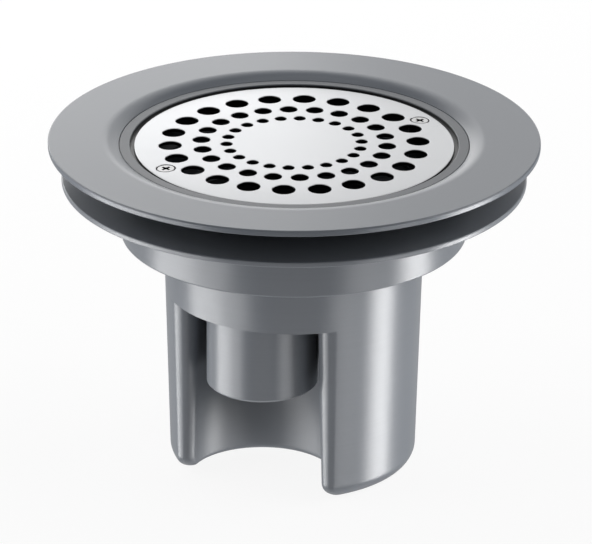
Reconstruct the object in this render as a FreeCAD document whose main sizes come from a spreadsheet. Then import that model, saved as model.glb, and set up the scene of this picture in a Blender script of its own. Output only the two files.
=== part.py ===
"""Shower trap: two plastic flanges over a tapered trap bowl, with a perforated steel grate.

The frame: millimetres, +Z up, origin on the trap's axis at the underside of the bowl.
The bite in the bowl's side, with the outlet tube in it, faces -Y.
"""
import FreeCAD, Part
import os

import Sketcher

SIZES = (
    # The stack, from the top down
    ("total_height", "124", "underside of the bowl to the top of the upper flange"),
    ("flange_thickness", "2.2", "upper flange at its rim"),
    ("flange_gap", "11.5", "daylight between the two flanges"),
    ("lower_flange_thickness", "2", "lower flange"),
    ("collar_length", "20.3", "collar below the lower flange"),
    ("shoulder_thickness", "3", "ring that closes the collar's foot down to the bowl"),
    # Upper flange
    ("flange_diameter", "176.5", "upper flange over its rim"),
    ("lip_run", "6.3", "lip in plan, one arc from the flat top down to the ring's pocket"),
    ("rim_round", "0.5", "rounding of both flanges' rims"),
    ("pocket_floor", "2.2", "floor of the pocket that the clamp ring lies in"),
    ("pocket_wall", "2.4", "wall round that pocket"),
    ("spigot_step", "6.35", "spigot's outside from the pocket's outside"),
    ("spigot_depth", "18.8", "spigot below the pocket's floor"),
    ("spigot_wall", "2.6", "spigot's wall"),
    ("slide_clearance", "0.35", "spigot to the collar's bore, all round"),
    ("land_wall", "4.2", "thick end of the spigot, which carries the seal"),
    ("land_length", "9", "length of that end"),
    ("spigot_groove_depth", "2.2", "groove for the spigot's seal"),
    ("spigot_groove_width", "2.8", "same groove along Z"),
    ("spigot_groove_foot", "2", "same groove above the spigot's end"),
    ("boss_diameter", "8.4", "screw bosses, and the clamp ring's lugs on them"),
    ("boss_depth", "10.5", "screw bosses along Z"),
    ("boss_rib", "5", "rib from a boss to the spigot's wall"),
    ("boss_root", "0.3", "rib's end inside that wall"),
    # Clamp ring
    ("ring_width", "3.6", "flat top of the clamp ring"),
    ("ring_gap", "0.4", "clamp ring to its pocket, all round"),
    ("ring_web", "1.5", "web under the grate"),
    ("ring_skirt_length", "5", "skirt that centres the ring in the spigot"),
    ("ring_skirt_wall", "2.5", "same skirt's wall"),
    ("ring_skirt_clearance", "0.25", "skirt to the spigot's bore"),
    ("ring_edge_round", "0.35", "rounding of the ring's top edges"),
    # Grate
    ("grate_drop", "2", "top of the grate below the top of the flange"),
    ("grate_diameter", "115", "grate over its edge"),
    ("grate_thickness", "1.5", "grate"),
    ("grate_edge_round", "0.5", "rounding of the grate's edge"),
    ("grate_clearance", "1.4", "grate to the clamp ring, all round"),
    ("holes_per_ring", "22", "holes in each of the three rings"),
    ("inner_margin", "33.25", "middles of the inner holes from the grate's edge"),
    ("middle_margin", "24.1", "middles of the middle holes from the grate's edge"),
    ("outer_margin", "13", "middles of the outer holes from the grate's edge"),
    ("inner_hole", "4.1", "inner holes"),
    ("middle_hole", "6.1", "middle holes"),
    ("outer_hole", "8", "outer holes"),
    # Screws
    ("screw_margin", "6", "middles of the two screws from the grate's edge"),
    ("screw_angle", "53.1", "first screw's place round the axis, from +X"),
    ("screw_head_diameter", "6.8", "countersunk head"),
    ("screw_shank_diameter", "3.9", "shank"),
    ("screw_length", "16", "head and shank"),
    ("screw_point", "2", "conical point"),
    ("screw_clearance", "0.2", "shank to the holes of the grate and the clamp ring, all round"),
    ("screw_bite", "0.03", "shank to the boss that it is driven into, all round"),
    ("recess_span", "3.8", "cross recess, tip to tip"),
    ("recess_width", "0.9", "one arm of the cross"),
    ("recess_depth", "1.5", "cross recess"),
    ("recess_draft", "8", "draft of its walls"),
    ("recess_turn", "70", "one of its arms round the screw, from +X"),
    ("countersink_clearance", "0.1", "head to its countersink, all round"),
    # Lower flange and collar
    ("lower_flange_diameter", "167", "lower flange over its rim"),
    ("collar_wall", "3", "collar's wall"),
    ("collar_lead_in", "1", "chamfer at the collar's mouth"),
    ("collar_foot_round", "0.8", "rounding of the collar's foot"),
    # Bowl
    ("skirt_diameter", "89.2", "bowl outside, at its underside"),
    ("draft_angle", "1.5", "draft of every tall wall of the bowl"),
    ("bowl_wall", "2.6", "bowl's wall at the shelf"),
    ("bowl_floor", "3", "bowl's floor"),
    ("skirt_round", "6", "rounding of the bowl's outer bottom edge"),
    ("bottom_round", "2.4", "rounding of its other bottom edges"),
    ("mouth_wall", "2.35", "wall round the bowl's mouth"),
    # Bite and outlet
    ("ceiling_drop", "20.8", "bite's ceiling below the collar's foot"),
    ("socket_room", "5.9", "outlet tube to the bite's wall, at the underside"),
    ("bite_shift", "0.5", "bite's axis inwards from the outlet's axis"),
    ("bite_wall", "3", "wall between the bite and the bowl"),
    ("bite_round", "3.4", "round tips of the bowl's two lobes"),
    ("ceiling_thickness", "3", "ceiling of the bite, whose top is the shelf in the bowl"),
    ("cavity_tip_round", "1.3", "ends of the crescent inside the bowl, at its floor"),
    ("cavity_floor_round", "2", "rounding where the crescent meets its floor"),
    ("outlet_diameter", "40", "outlet tube outside"),
    ("outlet_inset", "0.16", "tube's outside inwards from the bowl's outside, at the ceiling"),
    ("outlet_length", "28", "outlet tube below the ceiling"),
    ("outlet_wall", "2.4", "outlet tube's wall"),
    ("outlet_chamfer", "1", "chamfer at the outlet's end"),
    ("weir_height", "2.8", "overflow's edge above the shelf"),
    # Dip insert
    ("insert_rim_overlap", "2.3", "rim that rests on the shoulder, outwards from the mouth"),
    ("insert_rim_thickness", "2", "same rim"),
    ("insert_clearance", "0.35", "plug to the bowl's mouth, all round"),
    ("plug_depth", "9", "plug below the rim"),
    ("plug_wall", "3.8", "plug's wall"),
    ("plug_floor", "2.5", "plug's floor"),
    ("insert_groove_depth", "2", "groove for the insert's seal"),
    ("insert_groove_width", "2.7", "same groove along Z"),
    ("insert_groove_drop", "3", "same groove below the rim"),
    ("duct_floor_gap", "20", "duct's end above the bowl's floor"),
    ("duct_outer_gap", "6.8", "duct to the bowl's outer wall, at the shelf"),
    ("duct_inner_gap", "8.6", "duct to the bite's wall, at the shelf"),
    ("duct_end_round", "6", "ends of the duct's section"),
    ("duct_wall", "2", "duct's wall"),
    ("handle_span", "40", "handle across"),
    ("handle_rise", "21", "handle above the plug's floor"),
    ("handle_bar", "4", "handle's bar and legs"),
    ("handle_thickness", "3", "handle, front to back"),
    ("handle_setback", "14", "handle's middle from the trap's axis, towards the outlet"),
    ("handle_round", "3", "handle's outer corners"),
    # Seals
    ("seal_fit", "0.05", "rubber ring to its groove and to the bore that it seals"),
    ("seal_corner", "0.6", "cut corners of both rubber rings"),
)

doc = FreeCAD.newDocument("shower_trap")
dims = doc.addObject("Spreadsheet::Sheet", "dims")
for row, (alias, value, note) in enumerate(SIZES, start=1):
    dims.set(f"A{row}", alias)
    dims.set(f"B{row}", value)
    dims.set(f"C{row}", note)
    dims.setAlias(f"B{row}", alias)
doc.recompute()

# Levels above the underside, as formulas over the sheet's names
flange_top = "dims.total_height"
flange_underside = f"{flange_top} - dims.flange_thickness"
lower_flange_top = f"{flange_underside} - dims.flange_gap"
lower_flange_underside = f"{lower_flange_top} - dims.lower_flange_thickness"
collar_foot = f"{lower_flange_underside} - dims.collar_length"
shoulder_top = f"{collar_foot} + dims.shoulder_thickness"
ceiling = f"{collar_foot} - dims.ceiling_drop"
shelf = f"{ceiling} + dims.ceiling_thickness"
weir = f"{shelf} + dims.weir_height"
outlet_end = f"{ceiling} - dims.outlet_length"
grate_top = f"{flange_top} - dims.grate_drop"
grate_underside = f"{grate_top} - dims.grate_thickness"
pocket_top = f"{grate_underside} - dims.ring_web"
pocket_underside = f"{pocket_top} - dims.pocket_floor"
spigot_end = f"{pocket_underside} - dims.spigot_depth"
spigot_groove = f"{spigot_end} + dims.spigot_groove_foot"
ring_foot = f"{pocket_top} - dims.ring_skirt_length"
boss_foot = f"{ring_foot} - dims.boss_depth"
plug_underside = f"{shoulder_top} - dims.plug_depth"
plug_floor_top = f"{plug_underside} + dims.plug_floor"
insert_groove = f"{shoulder_top} - dims.insert_groove_drop - dims.insert_groove_width"
duct_end = "dims.bowl_floor + dims.duct_floor_gap"

# Radii from the trap's axis
grate_radius = "dims.grate_diameter / 2"
ring_bore = f"{grate_radius} + dims.grate_clearance"
ring_radius = f"{ring_bore} + dims.ring_width"
pocket_radius = f"{ring_radius} + dims.ring_gap"
pocket_outside = f"{pocket_radius} + dims.pocket_wall"
lip_start = f"{pocket_radius} + dims.lip_run"
spigot_radius = f"{pocket_outside} - dims.spigot_step"
spigot_bore = f"{spigot_radius} - dims.spigot_wall"
land_bore = f"{spigot_radius} - dims.land_wall"
spigot_groove_radius = f"{spigot_radius} - dims.spigot_groove_depth"
collar_bore = f"{spigot_radius} + dims.slide_clearance"
collar_radius = f"{collar_bore} + dims.collar_wall"
skirt_radius = "dims.skirt_diameter / 2"
ring_skirt_radius = f"{spigot_bore} - dims.ring_skirt_clearance"
ring_skirt_bore = f"{ring_skirt_radius} - dims.ring_skirt_wall"
mouth_radius = f"{skirt_radius} + ({shelf}) * tan(dims.draft_angle) - dims.mouth_wall"
plug_radius = f"{mouth_radius} - dims.insert_clearance"
plug_bore = f"{plug_radius} - dims.plug_wall"
insert_groove_radius = f"{plug_radius} - dims.insert_groove_depth"
screw_hole = "dims.screw_shank_diameter / 2 + dims.screw_clearance"
screw_reach = f"({grate_radius} - dims.screw_margin)"
screw_x = f"{screw_reach} * cos(dims.screw_angle)"
screw_y = f"{screw_reach} * sin(dims.screw_angle)"
insert_rim_radius = f"{mouth_radius} + dims.insert_rim_overlap"

# The outlet, just inside the bowl's outside at the ceiling, and the bite around it
outlet_radius = "dims.outlet_diameter / 2"
outlet_offset = (f"({skirt_radius} + ({ceiling}) * tan(dims.draft_angle)"
                 f" - {outlet_radius} - dims.outlet_inset)")
bite_radius = f"({outlet_radius} + dims.socket_room)"
bite_offset = f"({outlet_offset} - dims.bite_shift)"

# The crescent inside the bowl and the duct that hangs in it, at the shelf
cavity_outer = f"{skirt_radius} + ({shelf}) * tan(dims.draft_angle) - dims.bowl_wall"
cavity_inner = f"{bite_radius} - ({shelf}) * tan(dims.draft_angle) + dims.bite_wall"
cavity_tip = f"(dims.cavity_tip_round + ({shelf} - dims.bowl_floor) * tan(dims.draft_angle))"
duct_outer = f"{cavity_outer} - dims.duct_outer_gap"
duct_inner = f"{cavity_inner} + dims.duct_inner_gap"
duct_depth = f"({duct_outer} + {bite_offset} - ({duct_inner}))"
duct_tip = f"min(dims.duct_end_round; {duct_depth} / 4)"


def number(formula):
    """The value of a formula over the sheet's names."""
    return float(dims.evalExpression(formula))


def new_body(name):
    body = doc.addObject("PartDesign::Body", name)
    body.Label = name
    return body


def new_sketch(body, name, role, offset="0"):
    """A sketch on one of the body's own origin planes, moved along its normal by a formula."""
    sketch = body.newObject("Sketcher::SketchObject", name)
    base = [item for item in body.Origin.OriginFeatures if item.Role == role][0]
    sketch.AttachmentSupport = [(base, "")]
    sketch.MapMode = "FlatFace"
    if offset != "0":
        sketch.setExpression("AttachmentOffset.Base.z", offset)
    return sketch


def tie_size(sketch, constraint, formula):
    index = sketch.addConstraint(constraint)
    sketch.setExpression(f"Constraints[{index}]", formula)


def tie_point(sketch, edge, end, across, up):
    """Ties one point of an edge to its two distances from the sketch's origin."""
    for kind, formula, axis in (("DistanceX", across, -2), ("DistanceY", up, -1)):
        if formula == "0":
            sketch.addConstraint(Sketcher.Constraint("PointOnObject", edge, end, axis))
        else:
            tie_size(sketch, Sketcher.Constraint(kind, -1, 1, edge, end, number(formula)), formula)


def arc_between(start, end, radius, side):
    """The short arc from one point to another, its centre to the left or the right of the way."""
    chord = end - start
    across = FreeCAD.Vector(-chord.y, chord.x, 0).normalize()
    if side == "right":
        across = -across
    height = (radius ** 2 - (chord.Length / 2) ** 2) ** 0.5
    circle = Part.Circle((start + end) / 2 + across * height, FreeCAD.Vector(0, 0, 1), radius)
    ends = [circle.parameter(start), circle.parameter(end)]
    if side == "right":
        ends.reverse()
    return Part.ArcOfCircle(circle, *ends)


def draw_outline(sketch, stations):
    """Edges from station to station and back to the first.

    A station is its place across and up, each a formula. With a third formula the edge that
    leaves it is an arc of that radius, whose centre is on the side that the fourth value names.
    """
    first = sketch.GeometryCount
    count = len(stations)
    spots = [FreeCAD.Vector(number(station[0]), number(station[1]), 0) for station in stations]
    leaving = []
    for place, station in enumerate(stations):
        here = spots[place]
        there = spots[(place + 1) % count]
        if len(station) == 2:
            sketch.addGeometry(Part.LineSegment(here, there), False)
            leaving.append(1)
        else:
            radius, side = station[2:]
            edge = sketch.addGeometry(arc_between(here, there, number(radius), side), False)
            tie_size(sketch, Sketcher.Constraint("Radius", edge, number(radius)), radius)
            leaving.append(2 if side == "right" else 1)
    for place, station in enumerate(stations):
        after = (place + 1) % count
        arriving = 3 - leaving[place]
        sketch.addConstraint(
            Sketcher.Constraint("Coincident", first + place, arriving, first + after, leaving[after]))
        tie_point(sketch, first + place, leaving[place], station[0], station[1])


def draw_circle(sketch, across, up, radius):
    centre = FreeCAD.Vector(number(across), number(up), 0)
    circle = Part.Circle(centre, FreeCAD.Vector(0, 0, 1), number(radius))
    edge = sketch.addGeometry(circle, False)
    tie_point(sketch, edge, 3, across, up)
    tie_size(sketch, Sketcher.Constraint("Radius", edge, number(radius)), radius)


def draw_crescent(sketch, outer, inner, tip):
    """A crescent between an arc about the trap's axis and an arc about the bite's axis.

    Its two ends are round, each tangent to both arcs. An end's centre lies outer - tip from the
    first axis and inner + tip from the second, which gives its place.
    """
    far = f"({outer} - ({tip}))"
    near = f"({inner} + ({tip}))"
    drop = f"(({far}^2 + {bite_offset}^2 - {near}^2) / (2 * {bite_offset}))"
    side = f"sqrt({far}^2 - {drop}^2)"
    outer_across = f"{side} * ({outer}) / {far}"
    outer_up = f"-{drop} * ({outer}) / {far}"
    inner_across = f"{side} * ({inner}) / {near}"
    inner_up = f"({bite_offset} - {drop}) * ({inner}) / {near} - {bite_offset}"
    draw_outline(sketch, [
        ("0", outer, outer, "left"),
        (f"-{outer_across}", outer_up, tip, "left"),
        (f"-{inner_across}", inner_up, inner, "right"),
        ("0", f"{inner} - {bite_offset}", inner, "right"),
        (inner_across, inner_up, tip, "left"),
        (outer_across, outer_up, outer, "left"),
    ])


def revolve(body, kind, name, stations):
    """Turns an outline in the XZ plane, each station a radius and a height, about the Z axis."""
    sketch = new_sketch(body, f"{name}_profile", "XZ_Plane")
    draw_outline(sketch, stations)
    turned = body.newObject(f"PartDesign::{kind}", name)
    turned.Profile = sketch
    turned.ReferenceAxis = (sketch, ["V_Axis"])
    turned.Angle = 360
    doc.recompute()
    return turned


def extrude(body, kind, name, sketch, length, upwards, draft=None):
    """A Pad or a Pocket of a sketch, up or down its normal, with its walls drafted or not."""
    feature = body.newObject(f"PartDesign::{kind}", name)
    feature.Profile = sketch
    feature.setExpression("Length", length)
    feature.Reversed = upwards == (kind == "Pocket")
    if draft:
        feature.setExpression("TaperAngle", draft)
    doc.recompute()
    return feature


def repeat(body, name, feature, sketch, count):
    """Copies a feature evenly round the Z axis."""
    pattern = body.newObject("PartDesign::PolarPattern", name)
    pattern.Originals = [feature]
    pattern.Axis = (sketch, ["N_Axis"])
    pattern.Angle = 360
    pattern.setExpression("Occurrences", count)
    body.Tip = pattern
    doc.recompute()
    return pattern


def circles_at(feature, radius, height):
    """Names of a feature's circular edges of one radius at one height."""
    names = []
    for place, edge in enumerate(feature.Shape.Edges, start=1):
        if not edge.Degenerated and isinstance(edge.Curve, Part.Circle):
            same_size = abs(edge.Curve.Radius - number(radius)) < 0.001
            if same_size and abs(edge.Curve.Center.z - number(height)) < 0.001:
                names.append(f"Edge{place}")
    return names


def edges_at(feature, height):
    """Names of a feature's edges that lie in one level plane."""
    level = number(height)
    names = []
    for place, edge in enumerate(feature.Shape.Edges, start=1):
        box = edge.BoundBox
        if abs(box.ZMin - level) < 0.001 and abs(box.ZMax - level) < 0.001:
            names.append(f"Edge{place}")
    return names


def dress(body, kind, name, base, edges, size):
    """A Fillet or a Chamfer of some edges of the last feature."""
    feature = body.newObject(f"PartDesign::{kind}", name)
    feature.Base = (base, edges)
    feature.setExpression("Radius" if kind == "Fillet" else "Size", size)
    doc.recompute()
    return feature


def lower_body():
    """Lower flange, collar, shoulder and bowl, with the bite and the outlet, in one moulding."""
    body = new_body("lower_body")
    flange_radius = "dims.lower_flange_diameter / 2"
    outlet_bore = f"{outlet_radius} - dims.outlet_wall"
    outlet_run = f"{weir} - ({outlet_end})"

    # The bowl below the bite's ceiling is a crescent, drafted outwards from the underside up
    sketch = new_sketch(body, "skirt_crescent", "XY_Plane")
    draw_crescent(sketch, skirt_radius, bite_radius, "dims.bite_round")
    skirt = extrude(body, "Pad", "skirt", sketch, ceiling, True, "dims.draft_angle")
    dress(body, "Fillet", "bottom_edges", skirt, edges_at(skirt, "0"), "dims.bottom_round")

    # Above it, everything is round
    revolve(body, "Revolution", "upper_form", [
        ("0", ceiling),
        (f"{skirt_radius} + ({ceiling}) * tan(dims.draft_angle)", ceiling),
        (f"{skirt_radius} + ({collar_foot}) * tan(dims.draft_angle)", collar_foot),
        (collar_radius, collar_foot),
        (collar_radius, lower_flange_underside),
        (flange_radius, lower_flange_underside),
        (flange_radius, lower_flange_top),
        (f"{collar_bore} + dims.collar_lead_in", lower_flange_top),
        (collar_bore, f"{lower_flange_top} - dims.collar_lead_in"),
        (collar_bore, shoulder_top),
        (mouth_radius, shoulder_top),
        (mouth_radius, shelf),
        ("0", shelf),
    ])

    # The outer bottom edge has a larger rounding, which runs over the lobes' tips too
    rounding = "dims.skirt_round"
    start = f"{skirt_radius} + {rounding} * tan(dims.draft_angle)"
    revolve(body, "Groove", "skirt_edge", [
        (f"{skirt_radius} - {rounding}", "0", rounding, "left"),
        (start, rounding),
        (f"{skirt_radius} + {rounding}", rounding),
        (f"{skirt_radius} + {rounding}", f"-{rounding}"),
        (f"{skirt_radius} - {rounding}", f"-{rounding}"),
    ])

    # The crescent inside that holds the water, drafted from the shelf down
    sketch = new_sketch(body, "cavity_crescent", "XY_Plane", shelf)
    draw_crescent(sketch, cavity_outer, cavity_inner, cavity_tip)
    cavity = extrude(body, "Pocket", "cavity", sketch, f"{shelf} - dims.bowl_floor", False,
                     "-dims.draft_angle")
    dress(body, "Fillet", "cavity_floor", cavity, edges_at(cavity, "dims.bowl_floor"),
          "dims.cavity_floor_round")

    # The outlet tube, from its end up to the overflow's edge above the shelf
    sketch = new_sketch(body, "outlet_circle", "XY_Plane", outlet_end)
    draw_circle(sketch, "0", f"-{outlet_offset}", outlet_radius)
    extrude(body, "Pad", "outlet", sketch, outlet_run, True)
    sketch = new_sketch(body, "outlet_bore_circle", "XY_Plane", outlet_end)
    draw_circle(sketch, "0", f"-{outlet_offset}", outlet_bore)
    outlet = extrude(body, "Pocket", "outlet_bore", sketch, outlet_run, True)
    outlet = dress(body, "Chamfer", "outlet_lead_in", outlet,
                   circles_at(outlet, outlet_radius, outlet_end), "dims.outlet_chamfer")

    # Small roundings of the flange's rim and the collar's foot
    rims = circles_at(outlet, flange_radius, lower_flange_top)
    rims += circles_at(outlet, flange_radius, lower_flange_underside)
    rim = dress(body, "Fillet", "lower_rim", outlet, rims, "dims.rim_round")
    dress(body, "Fillet", "collar_edge", rim, circles_at(rim, collar_radius, collar_foot),
          "dims.collar_foot_round")
    return body


def upper_flange():
    """Wide flange with a rounded lip, a pocket for the clamp ring and a spigot below it."""
    body = new_body("upper_flange")
    flange_radius = "dims.flange_diameter / 2"
    lip_arc = "(dims.lip_run^2 + dims.grate_drop^2) / (2 * dims.grate_drop)"
    land_top = f"{spigot_end} + dims.land_length"
    groove_top = f"{spigot_groove} + dims.spigot_groove_width"
    form = revolve(body, "Revolution", "flange_form", [
        (flange_radius, flange_underside),
        (flange_radius, flange_top),
        (lip_start, flange_top, lip_arc, "left"),
        (pocket_radius, grate_top),
        (pocket_radius, pocket_top),
        (spigot_bore, pocket_top),
        (spigot_bore, f"{land_top} + dims.land_wall - dims.spigot_wall"),
        (land_bore, land_top),
        (land_bore, spigot_end),
        (spigot_radius, spigot_end),
        (spigot_radius, spigot_groove),
        (spigot_groove_radius, spigot_groove),
        (spigot_groove_radius, groove_top),
        (spigot_radius, groove_top),
        (spigot_radius, pocket_underside),
        (pocket_outside, pocket_underside),
        (pocket_outside, flange_underside),
    ])
    rims = circles_at(form, flange_radius, flange_top)
    rims += circles_at(form, flange_radius, flange_underside)
    dress(body, "Fillet", "upper_rim", form, rims, "dims.rim_round")

    # Two bosses under the clamp ring's lugs, each on a rib out of the spigot's wall
    sketch = new_sketch(body, "boss_outline", "XY_Plane", boss_foot)
    sketch.setExpression("AttachmentOffset.Rotation.Angle", "dims.screw_angle")
    radius = "dims.boss_diameter / 2"
    half_rib = "dims.boss_rib / 2"
    rib_start = f"{screw_reach} + sqrt(({radius})^2 - ({half_rib})^2)"
    rib_end = f"{spigot_bore} + dims.boss_root"
    draw_outline(sketch, [
        (rib_start, f"-{half_rib}"),
        (rib_end, f"-{half_rib}"),
        (rib_end, half_rib),
        (rib_start, half_rib, radius, "left"),
        (f"{screw_reach} - {radius}", "0", radius, "left"),
    ])
    boss = extrude(body, "Pad", "boss", sketch, "dims.boss_depth", True)
    repeat(body, "bosses", boss, sketch, "2")
    sketch = new_sketch(body, "boss_bore_circle", "XY_Plane", boss_foot)
    draw_circle(sketch, screw_x, screw_y, "dims.screw_shank_diameter / 2 + dims.screw_bite")
    bore = extrude(body, "Pocket", "boss_bore", sketch, "dims.boss_depth", True)
    repeat(body, "boss_bores", bore, sketch, "2")
    return body


def clamp_ring():
    """Ring in the flange's pocket, with a seat for the grate and lugs for the screws."""
    body = new_body("clamp_ring")
    revolve(body, "Revolution", "ring_form", [
        (ring_skirt_bore, ring_foot),
        (ring_skirt_radius, ring_foot),
        (ring_skirt_radius, pocket_top),
        (ring_radius, pocket_top),
        (ring_radius, grate_top),
        (ring_bore, grate_top),
        (ring_bore, grate_underside),
        (ring_skirt_bore, grate_underside),
    ])
    sketch = new_sketch(body, "lug_circle", "XY_Plane", ring_foot)
    draw_circle(sketch, screw_x, screw_y, "dims.boss_diameter / 2")
    height = f"{grate_underside} - ({ring_foot})"
    lug = extrude(body, "Pad", "lug", sketch, height, True)
    repeat(body, "lugs", lug, sketch, "2")
    sketch = new_sketch(body, "lug_bore_circle", "XY_Plane", ring_foot)
    draw_circle(sketch, screw_x, screw_y, screw_hole)
    bore = extrude(body, "Pocket", "lug_bore", sketch, height, True)
    bores = repeat(body, "lug_bores", bore, sketch, "2")
    edges = circles_at(bores, ring_radius, grate_top) + circles_at(bores, ring_bore, grate_top)
    dress(body, "Fillet", "ring_edges", bores, edges, "dims.ring_edge_round")
    return body


def grate():
    """Steel disc with three rings of holes and two countersunk screw holes."""
    body = new_body("grate")
    sketch = new_sketch(body, "disc_circle", "XY_Plane", grate_underside)
    draw_circle(sketch, "0", "0", grate_radius)
    disc = extrude(body, "Pad", "disc", sketch, "dims.grate_thickness", True)
    dress(body, "Fillet", "disc_edge", disc, circles_at(disc, grate_radius, grate_top),
          "dims.grate_edge_round")

    # The screws lie midway between two outer holes, and so in line with a middle hole
    half_step = "180 / dims.holes_per_ring"
    for name, shift in (("inner", half_step), ("middle", "0"), ("outer", half_step)):
        reach = f"({grate_radius} - dims.{name}_margin)"
        angle = f"(dims.screw_angle - {shift})"
        sketch = new_sketch(body, f"{name}_hole_circle", "XY_Plane", grate_underside)
        draw_circle(sketch, f"{reach} * cos({angle})", f"{reach} * sin({angle})", f"dims.{name}_hole / 2")
        hole = extrude(body, "Pocket", f"{name}_first_hole", sketch, "dims.grate_thickness", True)
        repeat(body, f"{name}_holes", hole, sketch, "dims.holes_per_ring")

    sketch = new_sketch(body, "screw_hole_circle", "XY_Plane", grate_underside)
    draw_circle(sketch, screw_x, screw_y, screw_hole)
    hole = extrude(body, "Pocket", "first_screw_hole", sketch, "dims.grate_thickness", True)
    holes = repeat(body, "screw_holes", hole, sketch, "2")
    sink = f"dims.screw_head_diameter / 2 + dims.countersink_clearance - ({screw_hole})"
    dress(body, "Chamfer", "countersinks", holes, circles_at(holes, screw_hole, grate_top), sink)
    return body


def grate_screw(name, turn):
    """Countersunk screw with a cross recess, its head's top at its own origin."""
    body = new_body(name)
    head = "dims.screw_head_diameter / 2"
    shank = "dims.screw_shank_diameter / 2"
    revolve(body, "Revolution", f"{name}_form", [
        ("0", "0"),
        ("0", "-dims.screw_length"),
        (shank, "dims.screw_point - dims.screw_length"),
        (shank, f"{shank} - {head}"),
        (head, "0"),
    ])
    sketch = new_sketch(body, f"{name}_cross", "XY_Plane")
    arm = "dims.recess_width / 2"
    tip = "dims.recess_span / 2"
    draw_outline(sketch, [
        (tip, f"-{arm}"), (tip, arm), (arm, arm), (arm, tip), (f"-{arm}", tip), (f"-{arm}", arm),
        (f"-{tip}", arm), (f"-{tip}", f"-{arm}"), (f"-{arm}", f"-{arm}"), (f"-{arm}", f"-{tip}"),
        (arm, f"-{tip}"), (arm, f"-{arm}"),
    ])
    extrude(body, "Pocket", f"{name}_recess", sketch, "dims.recess_depth", False, "-dims.recess_draft")
    angle = f"dims.screw_angle + {turn}"
    body.setExpression("Placement.Base.x", f"{screw_reach} * cos({angle})")
    body.setExpression("Placement.Base.y", f"{screw_reach} * sin({angle})")
    body.setExpression("Placement.Base.z", grate_top)
    body.setExpression("Placement.Rotation.Angle", "dims.recess_turn")
    return body


def dip_insert():
    """Lift-out insert: a plug in the bowl's mouth, with a duct that dips into the water."""
    body = new_body("dip_insert")
    rim_top = f"{shoulder_top} + dims.insert_rim_thickness"
    groove_top = f"{insert_groove} + dims.insert_groove_width"
    revolve(body, "Revolution", "plug", [
        ("0", plug_underside),
        (plug_radius, plug_underside),
        (plug_radius, insert_groove),
        (insert_groove_radius, insert_groove),
        (insert_groove_radius, groove_top),
        (plug_radius, groove_top),
        (plug_radius, shoulder_top),
        (insert_rim_radius, shoulder_top),
        (insert_rim_radius, rim_top),
        (plug_bore, rim_top),
        (plug_bore, plug_floor_top),
        ("0", plug_floor_top),
    ])
    run = f"{plug_floor_top} - ({duct_end})"
    sketch = new_sketch(body, "duct_crescent", "XY_Plane", duct_end)
    draw_crescent(sketch, duct_outer, duct_inner, duct_tip)
    extrude(body, "Pad", "duct", sketch, run, True)
    sketch = new_sketch(body, "duct_bore_crescent", "XY_Plane", duct_end)
    draw_crescent(sketch, f"{duct_outer} - dims.duct_wall", f"{duct_inner} + dims.duct_wall",
                  f"{duct_tip} - dims.duct_wall")
    extrude(body, "Pocket", "duct_bore", sketch, run, True)

    # An arched handle stands on the plug's floor, over the overflow
    half = "dims.handle_span / 2"
    inner_half = f"{half} - dims.handle_bar"
    top = f"{plug_floor_top} + dims.handle_rise"
    shoulder = f"{top} - dims.handle_round"
    corner = f"{half} - dims.handle_round"
    sketch = new_sketch(body, "handle_outline", "XZ_Plane",
                        "dims.handle_setback - dims.handle_thickness / 2")
    draw_outline(sketch, [
        (half, plug_floor_top),
        (half, shoulder, "dims.handle_round", "left"),
        (corner, top),
        (f"-({corner})", top, "dims.handle_round", "left"),
        (f"-{half}", shoulder),
        (f"-{half}", plug_floor_top),
        (f"-({inner_half})", plug_floor_top),
        (f"-({inner_half})", f"{top} - dims.handle_bar"),
        (inner_half, f"{top} - dims.handle_bar"),
        (inner_half, plug_floor_top),
    ])
    extrude(body, "Pad", "handle", sketch, "dims.handle_thickness", True)
    return body


def rubber_ring(name, groove_radius, bore, level):
    """Ring with cut corners, between a groove's foot and the bore that it seals."""
    body = new_body(name)
    inside = f"{groove_radius} + dims.seal_fit"
    outside = f"{bore} - dims.seal_fit"
    half = f"(({outside} - ({inside})) / 2)"
    cut = "dims.seal_corner"
    revolve(body, "Revolution", f"{name}_form", [
        (f"{inside} + {cut}", f"{level} - {half}"),
        (f"{outside} - {cut}", f"{level} - {half}"),
        (outside, f"{level} - {half} + {cut}"),
        (outside, f"{level} + {half} - {cut}"),
        (f"{outside} - {cut}", f"{level} + {half}"),
        (f"{inside} + {cut}", f"{level} + {half}"),
        (inside, f"{level} + {half} - {cut}"),
        (inside, f"{level} - {half} + {cut}"),
    ])
    return body


pieces = [
    lower_body(),
    upper_flange(),
    clamp_ring(),
    grate(),
    grate_screw("grate_screw_1", "0"),
    grate_screw("grate_screw_2", "180"),
    dip_insert(),
    rubber_ring("insert_seal", insert_groove_radius, mouth_radius,
                f"{insert_groove} + dims.insert_groove_width / 2"),
    rubber_ring("spigot_seal", spigot_groove_radius, collar_bore,
                f"{spigot_groove} + dims.spigot_groove_width / 2"),
]
doc.recompute()

failed = [item.Name for item in doc.Objects if "Invalid" in item.State or "Error" in item.State]
if failed:
    raise RuntimeError("failed to build: " + ", ".join(failed))
for piece in pieces:
    shape = piece.Shape
    if shape.isNull() or not shape.isValid() or len(shape.Solids) != 1:
        raise RuntimeError(f"{piece.Label} is not one valid solid")

os.makedirs("parts", exist_ok=True)
for piece in pieces:
    piece.Shape.exportStep(f"parts/{piece.Label}.step")
    print(piece.Label, round(piece.Shape.Volume / 1000, 2), "cm3")
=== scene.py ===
# %% [markdown]
# # A shower trap in a plain studio
#
# The trap sits in a shower's floor. Water runs through the holes of a steel grate into a
# bowl, which keeps some of it back as a seal against smells, and leaves by a short tube.
#
# The construction model comes in first as a fixed frame. Its flat facets are fine for a
# physics engine, but a lens sees them. Smoothing them in place would smear the shading over
# their long thin triangles, so the pieces that show are made again here as smooth surfaces
# in the same places, each a stack of loops worked out with numpy.

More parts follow.
